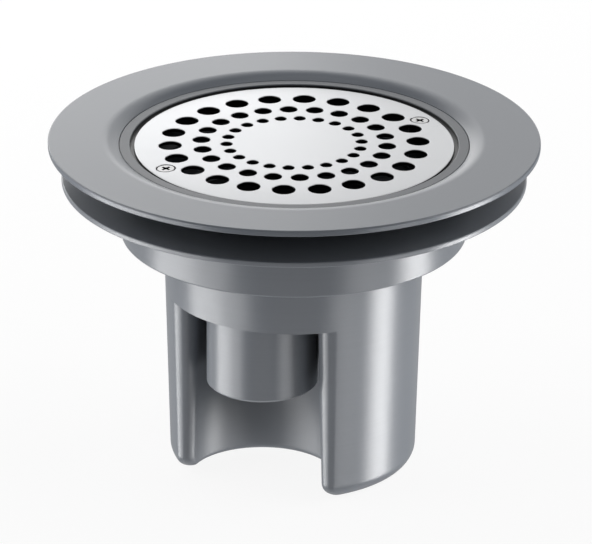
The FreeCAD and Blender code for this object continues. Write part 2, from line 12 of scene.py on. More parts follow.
# %% Bring in the frame
import math

import bmesh
import bpy
import numpy as np
from mathutils import Matrix, Vector


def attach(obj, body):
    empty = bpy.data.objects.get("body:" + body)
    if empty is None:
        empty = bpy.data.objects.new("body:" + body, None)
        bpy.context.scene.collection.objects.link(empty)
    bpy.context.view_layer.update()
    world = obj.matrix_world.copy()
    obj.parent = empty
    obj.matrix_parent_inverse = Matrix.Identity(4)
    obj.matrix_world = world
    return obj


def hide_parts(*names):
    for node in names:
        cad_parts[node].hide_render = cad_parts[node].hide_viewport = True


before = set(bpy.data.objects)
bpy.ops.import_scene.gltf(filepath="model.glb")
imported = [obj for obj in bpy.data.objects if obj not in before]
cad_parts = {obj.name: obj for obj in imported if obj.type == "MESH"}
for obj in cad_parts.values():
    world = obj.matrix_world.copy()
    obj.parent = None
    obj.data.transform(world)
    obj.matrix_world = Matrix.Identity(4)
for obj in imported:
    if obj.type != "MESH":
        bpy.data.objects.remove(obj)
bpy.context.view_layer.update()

# %% [markdown]
# ## Sizes
# They are in millimetres, as on a drawing. Heights are above the underside of the bowl, and
# radii are from the trap's axis. The bite in the bowl's side faces -Y. Only what several
# pieces share stands here. Every other size stands where it is first needed.

# %% Sizes that several pieces share
MM = 0.001
HOLES_AROUND = 22            # holes in each of the grate's three rings
CELL_POINTS = 12             # points on a full circle for each of those holes
AROUND = HOLES_AROUND * CELL_POINTS
FLANGE_TOP = 124.0
RING_TOP = 122.0
RING_FOOT = 114.0            # where the clamp ring meets the screw bosses
POCKET_FLOOR = 119.0         # where it lies in the flange
GRATE_TOP = 121.35           # at the sheet's edge
GRATE_CROWN = 0.75           # how much higher its middle stands
GRATE_RADIUS = 57.5
GRATE_UNDERSIDE = 120.5
SCREW_REACH = 51.5           # from the axis to each screw
BOSS_RADIUS = 4.2
BOSS_ANGLE = math.radians(53.1)
BITE_Y = -25.7
OUTLET_Y = -26.2
print("a full circle has", AROUND, "points, the trap is", FLANGE_TOP, "mm high")

# %% [markdown]
# ## From loops to a mesh
# Blender's own tools could turn, extrude and cut each piece, but a formula is shorter and
# can be read and changed. So every piece is a stack of loops with the same number of points,
# and four neighbours on two loops make one face. Each loop turns anticlockwise. The faces
# look away from the material where the stack goes up an outside, inwards over a top, down
# inside a hole and outwards under a bottom. Any other stack is flipped.

# %% A stack of loops becomes vertices and faces
def stack(loops, closed=True):
    """loops has the shape levels x points x 3. Face (k, i) joins points i and i + 1 of loops
    k and k + 1."""
    loops = np.asarray(loops, float)
    levels, count = loops.shape[:2]
    place = np.arange(levels * count).reshape(levels, count)
    here = place if closed else place[:, :-1]
    there = np.roll(place, -1, axis=1) if closed else place[:, 1:]
    faces = np.stack([here[:-1], there[:-1], there[1:], here[1:]], axis=-1).reshape(-1, 4)
    return loops.reshape(-1, 3), faces


def flipped(surface):
    """The same surface with its faces turned to look the other way."""
    vertices, faces = surface
    return vertices, faces[:, ::-1]


def joined(surfaces):
    """Several surfaces in one list of vertices, each one's faces counted on from the last."""
    starts = np.cumsum([0] + [len(vertices) for vertices, faces in surfaces[:-1]])
    vertices = np.concatenate([vertices for vertices, faces in surfaces])
    faces = np.concatenate([faces + start for (_, faces), start in zip(surfaces, starts)])
    return vertices, faces


def at_height(points, height):
    """The x and y of an outline's points, with the same height for all of them."""
    return np.column_stack([points, np.full(len(points), height)])


square = np.array([(1, -1), (1, 1), (-1, 1), (-1, -1)])
print("a square tube has", len(stack([at_height(square, 0), at_height(square, 1)])[1]), "faces")

# %% [markdown]
# A mesh could be built point by point, but foreach_set takes the arrays whole. Points that
# two surfaces share are merged. Where their rows have other points, as round the flats of
# the body, they only touch, to within about a hundredth of a millimetre. The piece rides on
# one of the frame's bodies, so that it moves with its joint, and replaces the faceted node.

# %% The surfaces become a piece that rides on its body
def piece(name, surfaces, body, replaces=(), sharp_above=32):
    """A smooth mesh object in metres. Edges whose faces meet at more than sharp_above degrees
    stay sharp."""
    vertices, faces = joined(surfaces)
    mesh = bpy.data.meshes.new(name)
    mesh.vertices.add(len(vertices))
    mesh.vertices.foreach_set("co", (vertices * MM).ravel())
    mesh.loops.add(faces.size)
    mesh.loops.foreach_set("vertex_index", faces.ravel())
    mesh.polygons.add(len(faces))
    mesh.polygons.foreach_set("loop_start", np.arange(len(faces)) * faces.shape[1])
    mesh.update(calc_edges=True)
    shape = bmesh.new()
    shape.from_mesh(mesh)
    bmesh.ops.remove_doubles(shape, verts=shape.verts, dist=1e-6)
    bmesh.ops.dissolve_degenerate(shape, edges=shape.edges, dist=1e-7)
    shape.to_mesh(mesh)
    shape.free()
    mesh.polygons.foreach_set("use_smooth", np.ones(len(mesh.polygons), bool))
    mesh.set_sharp_from_angle(angle=math.radians(sharp_above))
    thing = bpy.data.objects.new(name, mesh)
    bpy.context.scene.collection.objects.link(thing)
    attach(thing, body)
    if replaces:
        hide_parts(*replaces)
    made = np.empty(len(mesh.vertices) * 3, np.float32)
    mesh.vertices.foreach_get("co", made)
    made = made.reshape(-1, 3) / MM
    print(name, len(mesh.polygons), "faces from", np.round(made.min(0), 2),
          "to", np.round(made.max(0), 2), "mm")
    return thing


# %% [markdown]
# Moulded plastic has no knife edges. A Bevel modifier could round them, but it gives every
# edge the same width. So a profile is a list of corners, each with its own rounding, which
# is a short row of points on the arc that touches both sides. A guard point on each side,
# close to the arc, keeps the shading of the flat beside it flat.

# %% A profile with rounded corners, and its full turn
def rounded(corners, guard=0.12, step=11):
    """corners: (radius, height) or (radius, height, rounding). The arc's centre lies on the
    corner's bisector, at rounding / sin(half the corner's angle) from the corner, and the arc
    takes about one point for each step, in degrees."""
    points = []
    last = len(corners) - 1
    for place, corner in enumerate(corners):
        here = np.array(corner[:2], float)
        rounding = corner[2] if len(corner) > 2 else 0
        if rounding == 0 or place in (0, last):
            points.append(here[None])
            continue
        back = np.array(corners[place - 1][:2], float) - here
        on = np.array(corners[place + 1][:2], float) - here
        back, on = back / np.linalg.norm(back), on / np.linalg.norm(on)
        half = math.acos(np.clip(back @ on, -1, 1)) / 2
        reach = rounding / math.tan(half)
        bisector = (back + on) / np.linalg.norm(back + on)
        centre = here + bisector * rounding / math.sin(half)
        across = np.array([-bisector[1], bisector[0]])
        if across @ back >= 0:
            across = -across
        steps = max(3, int(round((math.pi - 2 * half) / math.radians(step))))
        turn = (np.linspace(-1, 1, steps + 1) * (math.pi / 2 - half))[:, None]
        arc = centre + rounding * (-bisector * np.cos(turn) + across * np.sin(turn))
        points += [(here + back * (reach + guard))[None], arc,
                   (here + on * (reach + guard))[None]]
    return np.concatenate(points)


def revolved(corners, count=AROUND, centre_y=0.0):
    """A profile turned about Z: each of its points becomes a circle of that radius, with x
    its radius x cos(angle) and y its radius x sin(angle)."""
    profile = rounded(corners)
    angle = np.arange(count) * 2 * np.pi / count
    radius, height = profile[:, :1], profile[:, 1:]
    return stack(np.stack([radius * np.cos(angle), radius * np.sin(angle) + centre_y,
                           np.broadcast_to(height, (len(profile), count))], axis=-1))


print("a square corner takes", len(rounded([(0, 0), (9, 0, 1), (9, 9)])) - 2, "points")

# %% [markdown]
# ## The wide flange
# A thin disc of grey plastic that is level with the tiles. Towards the grate its lip falls in
# a soft curve and then turns down into the pocket of the clamp ring. Below it hangs the
# spigot that slides in the collar, with a groove for its seal. A subdivided cage could give
# the lip, but all of it is round, so one profile gives it exactly.

# %% The flange's profile
FLANGE_RADIUS, FLANGE_UNDERSIDE = 88.25, 121.8
LIP_START, LIP_RUN, LIP_DROP = 69.2, 6.3, 2.0
POCKET_RADIUS, POCKET_OUTSIDE, POCKET_UNDERSIDE = 62.9, 65.3, 116.8
SPIGOT_RADIUS, SPIGOT_BORE, SPIGOT_FOOT = 58.95, 56.35, 98.0
GROOVE_RADIUS, GROOVE_FOOT, GROOVE_TOP = 56.75, 100.0, 102.8
LAND_BORE, LAND_TOP, LAND_SLOPE_TOP = 54.75, 107.0, 108.6   # the thicker wall by the groove

# The arc that falls by the drop over the run, level where it starts.
lip_radius = (LIP_RUN ** 2 + LIP_DROP ** 2) / (2 * LIP_DROP)
lip = [(LIP_START - lip_radius * math.sin(a), FLANGE_TOP - lip_radius * (1 - math.cos(a)))
       for a in np.linspace(0, math.asin(LIP_RUN / lip_radius), 15)]
flange_profile = [
    (LAND_BORE, SPIGOT_FOOT), (SPIGOT_RADIUS, SPIGOT_FOOT, 0.3),
    (SPIGOT_RADIUS, GROOVE_FOOT, 0.15), (GROOVE_RADIUS, GROOVE_FOOT, 0.15),
    (GROOVE_RADIUS, GROOVE_TOP, 0.15), (SPIGOT_RADIUS, GROOVE_TOP, 0.15),
    (SPIGOT_RADIUS, POCKET_UNDERSIDE, 0.4), (POCKET_OUTSIDE, POCKET_UNDERSIDE, 0.6),
    (POCKET_OUTSIDE, FLANGE_UNDERSIDE, 0.6), (FLANGE_RADIUS, FLANGE_UNDERSIDE, 0.5),
    (FLANGE_RADIUS, FLANGE_TOP, 0.6), (LIP_START + 0.2, FLANGE_TOP), *lip,
    (POCKET_RADIUS, RING_TOP - 0.15), (POCKET_RADIUS, POCKET_FLOOR, 0.2),
    (SPIGOT_BORE, POCKET_FLOOR, 0.3), (SPIGOT_BORE, LAND_SLOPE_TOP),
    (LAND_BORE, LAND_TOP), (LAND_BORE, SPIGOT_FOOT),
]
print("the lip is an arc of", round(lip_radius, 2), "mm")

# %% [markdown]
# Two bosses inside the spigot take the screws. Each is a round nose on a rib that runs into
# the wall. A cylinder and a box could be merged into one, but an outline that already has
# both forms needs only to be raised into a prism.

# %% The bosses, and the flange as one piece
BOSS_FOOT = 103.5


def prism(outline, low, high):
    """An upright wall over an outline, with flat ends that are fans round its middle."""
    middle = np.broadcast_to(outline.mean(0), outline.shape)
    return stack([at_height(middle, low), at_height(outline, low),
                  at_height(outline, high), at_height(middle, high)])


def boss_outline(direction, half_rib=2.5, rib_end=56.65, count=40):
    """A round nose about the screw, then a straight rib out to the spigot's wall, all turned
    about the axis by direction."""
    open_angle = math.asin(half_rib / BOSS_RADIUS)
    angle = np.linspace(open_angle, 2 * np.pi - open_angle, count)
    nose = np.column_stack([SCREW_REACH + BOSS_RADIUS * np.cos(angle),
                            BOSS_RADIUS * np.sin(angle)])
    outline = np.concatenate([nose, [[rib_end, -half_rib], [rib_end, half_rib]]])
    cos, sin = math.cos(direction), math.sin(direction)
    return outline @ np.array([[cos, sin], [-sin, cos]])


screw_directions = [BOSS_ANGLE, BOSS_ANGLE + math.pi]
bosses = [prism(boss_outline(direction), BOSS_FOOT, RING_FOOT) for direction in screw_directions]
flange = piece("flange_skin", [revolved(flange_profile), *bosses], "top", ["upper_flange"])

# %% [markdown]
# ## The clamp ring
# A separate ring of the same plastic between the lip and the grate. It could be part of the
# flange's mesh, but the real one lifts out, so it is a piece of its own. Its rim stands a
# little above the sheet's edge. Its two top edges are broken by a small rounding, and those
# catch the thin bright lines round the grate. Two round lugs stand under the screws.

# %% Clamp ring
RING_RADIUS, RING_RIM_BORE = 62.75, 58.9
RING_SKIRT_RADIUS, RING_BORE = 56.1, 53.6
LUG_POINTS = 48

ring_profile = [
    (RING_BORE, RING_FOOT), (RING_SKIRT_RADIUS, RING_FOOT, 0.3),
    (RING_SKIRT_RADIUS, POCKET_FLOOR), (RING_RADIUS, POCKET_FLOOR, 0.2),
    (RING_RADIUS, RING_TOP, 0.35), (RING_RIM_BORE, RING_TOP, 0.35),
    (RING_RIM_BORE, GRATE_UNDERSIDE, 0.1), (RING_BORE, GRATE_UNDERSIDE, 0.2),
    (RING_BORE, RING_FOOT),
]
lug_angle = np.arange(LUG_POINTS) * 2 * np.pi / LUG_POINTS
lug_circle = BOSS_RADIUS * np.column_stack([np.cos(lug_angle), np.sin(lug_angle)])
lugs = [prism(lug_circle + SCREW_REACH * np.array([math.cos(direction), math.sin(direction)]),
              RING_FOOT, GRATE_UNDERSIDE) for direction in screw_directions]
ring = piece("clamp_ring_skin", [revolved(ring_profile), *lugs], "top", ["clamp_ring"])

# %% [markdown]
# ## The grate
# A steel sheet with three rings of punched holes. Booleans could cut 66 holes out of a disc,
# but they leave long thin faces that shade badly. So the sheet is divided into cells, one
# round each hole: a cell runs from its own border on the top face in to the hole, over the
# edge that the punch has drawn down, through the sheet, and out to the same border
# underneath. The border beyond the outer holes is wavy, to pass round the screws.

# %% One cell of the sheet
STEP = 2 * np.pi / HOLES_AROUND
SIDE = np.linspace(0, 1, 7)[:-1]
ARC = np.linspace(-0.5, 0.5, CELL_POINTS + 1)[:-1] * STEP


def wave(angle):
    """The wavy border's radius, 49.5 - 1.9 x cos(22 x the angle from a screw): furthest out
    beyond each outer hole, nearest at the screws."""
    return 49.5 - 1.9 * np.cos((angle - BOSS_ANGLE) * HOLES_AROUND)


def border(middle, inner, outer):
    """Anticlockwise outline of a cell, in radius and angle: out along one side, round the
    outer border, back in along the other side, round the inner border."""
    low, high = middle - STEP / 2, middle + STEP / 2
    round_out, round_in = middle + ARC, middle - ARC
    radius = np.concatenate([
        inner(low) + (outer(low) - inner(low)) * SIDE, outer(round_out),
        outer(high) + (inner(high) - outer(high)) * SIDE, inner(round_in)])
    angle = np.concatenate([np.full(len(SIDE), low), round_out,
                            np.full(len(SIDE), high), round_in])
    return np.column_stack([radius * np.cos(angle), radius * np.sin(angle)])


def holed_cell(middle, pitch, inner, outer, wall):
    """Loops from the border to the hole and back underneath. wall is the hole's profile, a
    radius and a height for each loop. A point of a hole's loop lies in the direction of the
    border's point from the hole's middle."""
    edge = border(middle, inner, outer)
    centre = pitch * np.array([math.cos(middle), math.sin(middle)])
    towards = edge - centre
    towards /= np.linalg.norm(towards, axis=1, keepdims=True)
    loops = [at_height(edge, GRATE_TOP)]
    loops += [at_height(centre + radius * towards, height) for radius, height in wall]
    loops.append(at_height(edge, GRATE_UNDERSIDE))
    return stack(loops)


print("a cell has", 2 * (len(SIDE) + len(ARC)), "points on its border")

# %% [markdown]
# A punch rolls the top edge of a hole over and leaves the lower one crisp. A Bevel modifier
# would treat both alike, so each hole has its own profile. The countersinks of the screws
# are two more such profiles in the rim, where the other cells have no hole.

# %% The holes and the rim between them
MIDDLE_BORDER, FIRST_BORDER, SECOND_BORDER, RIM_BORDER = 19.5, 28.8, 38.2, 56.5
SCREW_CELLS = (0, HOLES_AROUND // 2)


def punched(radius, roll=0.3, burr=0.08):
    """A hole's profile: a quarter circle of the radius roll at the top, then straight down,
    and a small slope of the width burr underneath."""
    turn = np.linspace(0, np.pi / 2, 6)
    top = np.column_stack([radius + roll * (1 - np.sin(turn)),
                           GRATE_TOP - roll * (1 - np.cos(turn))])
    low = [(radius, GRATE_UNDERSIDE + burr), (radius + burr, GRATE_UNDERSIDE)]
    return [(radius + roll + 0.1, GRATE_TOP), *top, (radius, GRATE_TOP - 0.7), *low,
            (radius + burr + 0.1, GRATE_UNDERSIDE)]


def level_ring(radius):
    """A border at the same radius all round."""
    return lambda angle: np.full_like(np.asarray(angle, float), radius)


def rim_flats(middle):
    """The top and the underside of a cell between the wavy border and the rim's, without a
    hole."""
    angle = middle + np.linspace(-0.5, 0.5, CELL_POINTS + 1) * STEP
    spoke = np.column_stack([np.cos(angle), np.sin(angle)])
    near, far = wave(angle)[:, None] * spoke, RIM_BORDER * spoke
    return [stack([at_height(far, GRATE_TOP), at_height(near, GRATE_TOP)], closed=False),
            stack([at_height(near, GRATE_UNDERSIDE), at_height(far, GRATE_UNDERSIDE)],
                  closed=False)]


countersunk = [
    (3.8, GRATE_TOP), (3.68, GRATE_TOP), (3.6, GRATE_TOP - 0.05), (3.52, GRATE_TOP - 0.25),
    (2.36, GRATE_UNDERSIDE), (2.5, GRATE_UNDERSIDE),
]
# Pitch radius, hole radius, inner border, outer border, and how many steps past a screw.
hole_rings = [
    (24.25, 2.1, level_ring(MIDDLE_BORDER), level_ring(FIRST_BORDER), 0.5),
    (33.4, 3.12, level_ring(FIRST_BORDER), level_ring(SECOND_BORDER), 0.0),
    (44.5, 4.1, level_ring(SECOND_BORDER), wave, 0.5),
]
sheet = [holed_cell(BOSS_ANGLE + (k + shift) * STEP, pitch, inner, outer, punched(hole))
         for pitch, hole, inner, outer, shift in hole_rings for k in range(HOLES_AROUND)]
for k in range(HOLES_AROUND):
    rim_middle = BOSS_ANGLE + k * STEP
    if k in SCREW_CELLS:
        sheet.append(holed_cell(rim_middle, SCREW_REACH, wave, level_ring(RIM_BORDER),
                                countersunk))
    else:
        sheet += rim_flats(rim_middle)
print(len(sheet), "parts of the sheet, holes of",
      [2 * hole for _, hole, *_ in hole_rings], "mm across")

# %% [markdown]
# A round edge and a plain middle complete the sheet. The top of the real one is a very
# shallow dome. A lattice could bend it, but the heights of its points are as easily worked
# out once more, and those of the screws with them, so that they stay in their countersinks.
# The underside stays flat, where it lies on the ring.

# %% The sheet's edge and middle, and its crown
EDGE_ROUNDING = 0.5
MIDDLE_RADIUS = 6.0          # a circle between the inner border and the centre
cell_angles = BOSS_ANGLE - STEP / 2 + np.arange(AROUND) * 2 * np.pi / AROUND


def sheet_loops(profile):
    """Circles of the sheet whose points fall on the cells' borders."""
    radius, height = np.array(profile, float).T[:, :, None]
    return stack(np.stack([radius * np.cos(cell_angles), radius * np.sin(cell_angles),
                           np.broadcast_to(height, (len(profile), AROUND))], axis=-1))


def crowned(surface):
    """The top rises towards the middle by GRATE_CROWN x (1 - (radius / GRATE_RADIUS)^4). The
    underside stays flat, and what lies between the two moves in proportion."""
    vertices, faces = surface
    share = (vertices[:, 2] - GRATE_UNDERSIDE) / (GRATE_TOP - GRATE_UNDERSIDE)
    rise = GRATE_CROWN * (1 - (np.hypot(vertices[:, 0], vertices[:, 1]) / GRATE_RADIUS) ** 4)
    return np.column_stack([vertices[:, :2], vertices[:, 2] + np.maximum(share, 0) * rise]), faces


edge_top = [(GRATE_RADIUS - EDGE_ROUNDING + EDGE_ROUNDING * math.sin(a),
             GRATE_TOP - EDGE_ROUNDING + EDGE_ROUNDING * math.cos(a))
            for a in np.linspace(np.pi / 2, 0, 8)]
sheet.append(sheet_loops([
    (RIM_BORDER, GRATE_UNDERSIDE), (GRATE_RADIUS - 0.15, GRATE_UNDERSIDE),
    (GRATE_RADIUS, GRATE_UNDERSIDE + 0.15), *edge_top, (GRATE_RADIUS - 0.65, GRATE_TOP),
    (RIM_BORDER, GRATE_TOP)]))
middle_circles = [MIDDLE_BORDER, MIDDLE_RADIUS, 0]
sheet.append(sheet_loops([(radius, GRATE_TOP) for radius in middle_circles]))
sheet.append(sheet_loops([(radius, GRATE_UNDERSIDE) for radius in middle_circles[::-1]]))
grate = piece("grate_skin", [crowned(cell) for cell in sheet], "top", ["grate"], sharp_above=40)

# %% [markdown]
# ## The two screws
# Small countersunk screws with a cross recess hold the grate. Each head lies just below the sheet
# in its countersink, and the gap round it reads as a dark ring. The steel's colour falls off below
# the sheet's top, so the countersink, the head's rim and the cross also carry painted shade. A
# Boolean could cut the cross, but would leave long faces that shade badly. So it is a height over a
# disc of fine loops: the disc is pressed down wherever it lies inside one of the two arms or the
# round middle.

# %% The recess and the screws
SCREW_POINTS = 160
FACE_RADIUS, FACE_LOOPS = 2.85, 46


def cross_recess(x, y, half_width=0.5, reach=1.8, middle=0.95, depth=1.3, slope=0.25):
    """Depth of the recess at x, y: full inside the cross, none outside, and between the two
    it falls in proportion to the distance from the nearest arm's side."""
    arm = np.maximum(np.abs(y) - half_width, np.abs(x) - reach)
    other = np.maximum(np.abs(x) - half_width, np.abs(y) - reach)
    beyond = np.minimum(np.minimum(arm, other), np.hypot(x, y) - middle)
    return depth * np.clip(-beyond / slope, 0, 1)


def screw(direction, top=GRATE_TOP - 0.06, head=3.1, shank=1.95, length=15.5, recess_turn=70):
    """Circles about the screw's own axis, from the point up the shank, round the head and in
    over its face, where each point sinks by the recess. recess_turn is in degrees."""
    radius_and_depth = [
        (0, length), (0.9, length - 1.2), (shank, length - 2.2), (shank, 1.45),
        (head - 0.02, 0.3), (head, 0.16), (head - 0.04, 0.07), (head - 0.14, 0.01),
    ]
    sides = len(radius_and_depth)
    radii, depths = np.array(radius_and_depth).T
    radii = np.concatenate([radii, np.linspace(FACE_RADIUS, 0, FACE_LOOPS)])
    levels = top - np.concatenate([depths, np.zeros(FACE_LOOPS)])
    angle = np.arange(SCREW_POINTS) * 2 * np.pi / SCREW_POINTS
    away_x, away_y = radii[:, None] * np.cos(angle), radii[:, None] * np.sin(angle)
    cos, sin = math.cos(math.radians(recess_turn)), math.sin(math.radians(recess_turn))
    sunk = cross_recess(away_x * cos + away_y * sin, away_y * cos - away_x * sin)
    sunk[:sides] = 0
    return stack(np.stack([SCREW_REACH * math.cos(direction) + away_x,
                           SCREW_REACH * math.sin(direction) + away_y,
                           levels[:, None] - sunk], axis=-1))


screws = [piece(f"screw_{k + 1}_skin", [crowned(screw(direction))], "top",
                [f"grate_screw_{k + 1}"], sharp_above=35)
          for k, direction in enumerate(screw_directions)]

# %% [markdown]
# ## The body below
# One moulding: its flange, collar and shoulder are round, and the bite in the bowl's side
# makes the lower part a crescent. A round bowl and a Boolean could give that, but the ends
# of the crescent are round too. A crescent is four arcs: two long ones about two axes, and
# two short ones that close the ends and touch both, so its points are worked out as such.

# %% Crescent loops
def both_sides(x, y, ends):
    """The right half's points, and after them its end's points once more, on the left."""
    return (np.concatenate([x, -x[:, ends - 1::-1]], axis=1),
            np.concatenate([y, y[:, ends - 1::-1]], axis=1))


def crescents(outer, inner, tip, height, ends=10, arc=150):
    """Loops of a crescent, one per height. An end's middle lies outer - tip from the trap's
    axis and inner + tip from the bite's, so the two circles' crossing gives it. The loop turns
    anticlockwise from the middle of the right end, along the outside, and back inside."""
    outer, inner, tip = (np.asarray(v, float)[:, None] for v in (outer, inner, tip))
    far, near, shift = outer - tip, inner + tip, -BITE_Y
    drop = (far ** 2 + shift ** 2 - near ** 2) / (2 * shift)
    side = np.sqrt(far ** 2 - drop ** 2)
    out_angle = np.arctan2(-drop, side)
    in_angle = np.arctan2(shift - drop, side)
    middle = (out_angle + in_angle - np.pi) / 2
    t = np.linspace(0, 1, ends, endpoint=False)
    s = np.linspace(0, 1, arc)
    turn_out = middle + (out_angle - middle) * t
    along_out = out_angle + (np.pi - 2 * out_angle) * s
    out_x, out_y = both_sides(
        np.concatenate([side + tip * np.cos(turn_out), outer * np.cos(along_out)], axis=1),
        np.concatenate([-drop + tip * np.sin(turn_out), outer * np.sin(along_out)], axis=1), ends)
    turn_in = middle + (in_angle - np.pi - middle) * t
    along_in = in_angle + (np.pi - 2 * in_angle) * s
    in_x, in_y = both_sides(
        np.concatenate([side + tip * np.cos(turn_in), inner * np.cos(along_in)], axis=1),
        np.concatenate([-drop + tip * np.sin(turn_in), inner * np.sin(along_in) - shift], axis=1),
        ends)
    x = np.concatenate([out_x, in_x[:, -2:0:-1]], axis=1)
    y = np.concatenate([out_y, in_y[:, -2:0:-1]], axis=1)
    z = np.broadcast_to(np.asarray(height, float)[:, None], x.shape)
    return np.stack([x, y, z], axis=-1)


def ladder(loop):
    """The flat inside a crescent loop: rungs from each outer point to the inner one across."""
    half = len(loop) // 2 + 1
    across = np.concatenate([loop[:1], loop[:half - 1:-1], loop[half - 1:half]])
    return stack([loop[:half], across], closed=False)


print("a crescent loop has", crescents([44.6], [25.9], [3.4], [0]).shape[1], "points")

# %% [markdown]
# The mould needs draft, so every wall leans a little: outside the bowl widens upwards, and
# the wall of the bite leans the other way. The underside is rounded, more on the outside than
# in the bite. The cavity is a second stack that goes down from the shelf to a rounded floor,
# so that a look through the grate finds a real hollow.

# %% The bowl's outside, its cavity and its floor
DRAFT = math.tan(math.radians(1.5))
CEILING = 67.2               # of the bite, where the round part begins
SHELF = 70.2                 # inside the bowl, above the ceiling
SKIRT_RADIUS, BITE_RADIUS, TIP_RADIUS = 44.6, 25.9, 3.4         # at the underside
OUTER_ROUNDING, INNER_ROUNDING = 6, 2.4
CAVITY_RADIUS, CAVITY_BITE_RADIUS, CAVITY_TIP = 43.84, 27.06, 3.0   # at the shelf
FLOOR, FLOOR_ROUNDING = 3, 2


def set_in(heights, rounding):
    """How far a wall stands in near the underside: rounding - sqrt(rounding^2 - (rounding -
    height)^2), and nothing above the rounding."""
    return rounding - np.sqrt(rounding ** 2 - np.clip(rounding - heights, 0, rounding) ** 2)


skirt_heights = np.concatenate([
    OUTER_ROUNDING * (1 - np.cos(np.linspace(0, np.pi / 2, 15))), [6.4, 30, CEILING]])
inner_edge = set_in(skirt_heights, INNER_ROUNDING)
skirt = crescents(SKIRT_RADIUS + skirt_heights * DRAFT - set_in(skirt_heights, OUTER_ROUNDING),
                  BITE_RADIUS - skirt_heights * DRAFT + inner_edge,
                  TIP_RADIUS + skirt_heights * DRAFT - inner_edge, skirt_heights)
floor_turn = np.linspace(0, np.pi / 2, 7)
cavity_heights = np.concatenate([
    [SHELF, 5.5], FLOOR + FLOOR_ROUNDING - FLOOR_ROUNDING * np.sin(floor_turn)])
floor_edge = np.concatenate([[0, 0], FLOOR_ROUNDING * (1 - np.cos(floor_turn))])
narrower = (SHELF - cavity_heights) * DRAFT
cavity_tip = CAVITY_TIP - narrower - floor_edge * 0.5
cavity = crescents(CAVITY_RADIUS - narrower - floor_edge,
                   CAVITY_BITE_RADIUS + narrower + floor_edge, cavity_tip, cavity_heights)
print("skirt", skirt.shape, "cavity", cavity.shape,
      "narrowest end", round(cavity_tip.min(), 2), "mm")

# %% [markdown]
# Above the bowl all is round again, and the outlet tube hangs from the bite's ceiling and
# comes out above the shelf as the overflow's edge. The ceiling is the flat between the tube
# and the walls of the bite, and the shelf is the flat between the tube, the cavity and the
# mouth. Blender could fill both as one many-sided face each, but such a face is cut into
# triangles anyhow, so each is made of rungs between two rows of points.

# %% The round part, the tube and the two flats
NECK_RADIUS, NECK_TOP_RADIUS = 46.36, 46.9
COLLAR_RADIUS, COLLAR_BORE, COLLAR_FOOT = 62.3, 59.3, 88.0
LOWER_FLANGE_RADIUS, LOWER_FLANGE_UNDERSIDE, LOWER_FLANGE_TOP = 83.5, 108.3, 110.3
MOUTH_RADIUS, SHOULDER_TOP = 44.09, 91.0
OUTLET_RADIUS, OUTLET_BORE, OUTLET_FOOT, OVERFLOW = 20.0, 17.6, 39.2, 73.0
MOUTH_POINTS = 90

body_profile = [
    (NECK_RADIUS, CEILING), (NECK_TOP_RADIUS, COLLAR_FOOT, 0.6),
    (COLLAR_RADIUS, COLLAR_FOOT, 0.8), (COLLAR_RADIUS, LOWER_FLANGE_UNDERSIDE, 0.5),
    (LOWER_FLANGE_RADIUS, LOWER_FLANGE_UNDERSIDE, 0.5),
    (LOWER_FLANGE_RADIUS, LOWER_FLANGE_TOP, 0.5), (COLLAR_BORE + 1, LOWER_FLANGE_TOP, 0.2),
    (COLLAR_BORE, LOWER_FLANGE_TOP - 1, 0.2), (COLLAR_BORE, SHOULDER_TOP, 0.3),
    (MOUTH_RADIUS, SHOULDER_TOP, 0.3), (MOUTH_RADIUS, SHELF),
]
tube_profile = [
    (OUTLET_BORE, OUTLET_FOOT), (OUTLET_RADIUS - 1, OUTLET_FOOT, 0.15),
    (OUTLET_RADIUS, OUTLET_FOOT + 1, 0.15), (OUTLET_RADIUS, SHELF),
    (OUTLET_RADIUS, OVERFLOW, 0.3), (OUTLET_BORE, OVERFLOW, 0.3), (OUTLET_BORE, OUTLET_FOOT),
]


def flats(loop, wall_radius, height):
    """Two flats that look up: between a crescent's outside and a round wall, and from the
    crescent's inside and the wall's open part in to the tube."""
    half = len(loop) // 2 + 1
    outside = loop[:half]
    angle = np.unwrap(np.arctan2(outside[:, 1], outside[:, 0]))
    wall = np.column_stack([wall_radius * np.cos(angle), wall_radius * np.sin(angle),
                            outside[:, 2]])
    inside = np.concatenate([loop[half - 1:], loop[:1]])
    below = np.linspace(angle[0], angle[-1] - 2 * np.pi, MOUTH_POINTS)
    front = at_height(wall_radius * np.column_stack([np.cos(below), np.sin(below)]), height)
    outline = np.concatenate([inside, front])[::-1]
    centre = np.array([0, OUTLET_Y, height])
    towards = outline - centre
    foot = centre + OUTLET_RADIUS * towards / np.linalg.norm(towards, axis=1, keepdims=True)
    return [flipped(stack([outside, wall], closed=False)), flipped(stack([foot, outline]))]


ceiling = [flipped(flat) for flat in flats(skirt[-1], NECK_RADIUS, CEILING)]
shelf = flats(cavity[0], MOUTH_RADIUS, SHELF)
body = piece("body_skin", [
    revolved(body_profile), revolved(tube_profile, centre_y=OUTLET_Y), *ceiling,
    stack(skirt), ladder(skirt[0]), stack(cavity), flipped(ladder(cavity[-1])), *shelf],
    "trap_body", ["lower_body"])

# %% [markdown]
# ## Materials
# A finish could be drawn in Blender's node editor, but a script that links node after node
# is hard to read. Shader maths reads best as plain expressions, so one small class wraps a
# socket and turns + - * into Math nodes. All other nodes come from one method.

# %% A socket that can be added and multiplied
class Wire:
    """A value in a material's nodes."""

    def __init__(self, nodes, socket):
        self.nodes, self.socket = nodes, socket

    def combine(self, kind, first, second):
        return self.nodes.add("ShaderNodeMath", {"operation": kind}, {0: first, 1: second})

    def __add__(self, other):
        return self.combine("ADD", self, other)

    def __sub__(self, other):
        return self.combine("SUBTRACT", self, other)

    def __rsub__(self, other):
        return self.combine("SUBTRACT", other, self)

    def __mul__(self, other):
        return self.combine("MULTIPLY", self, other)

    __radd__ = __add__
    __rmul__ = __mul__


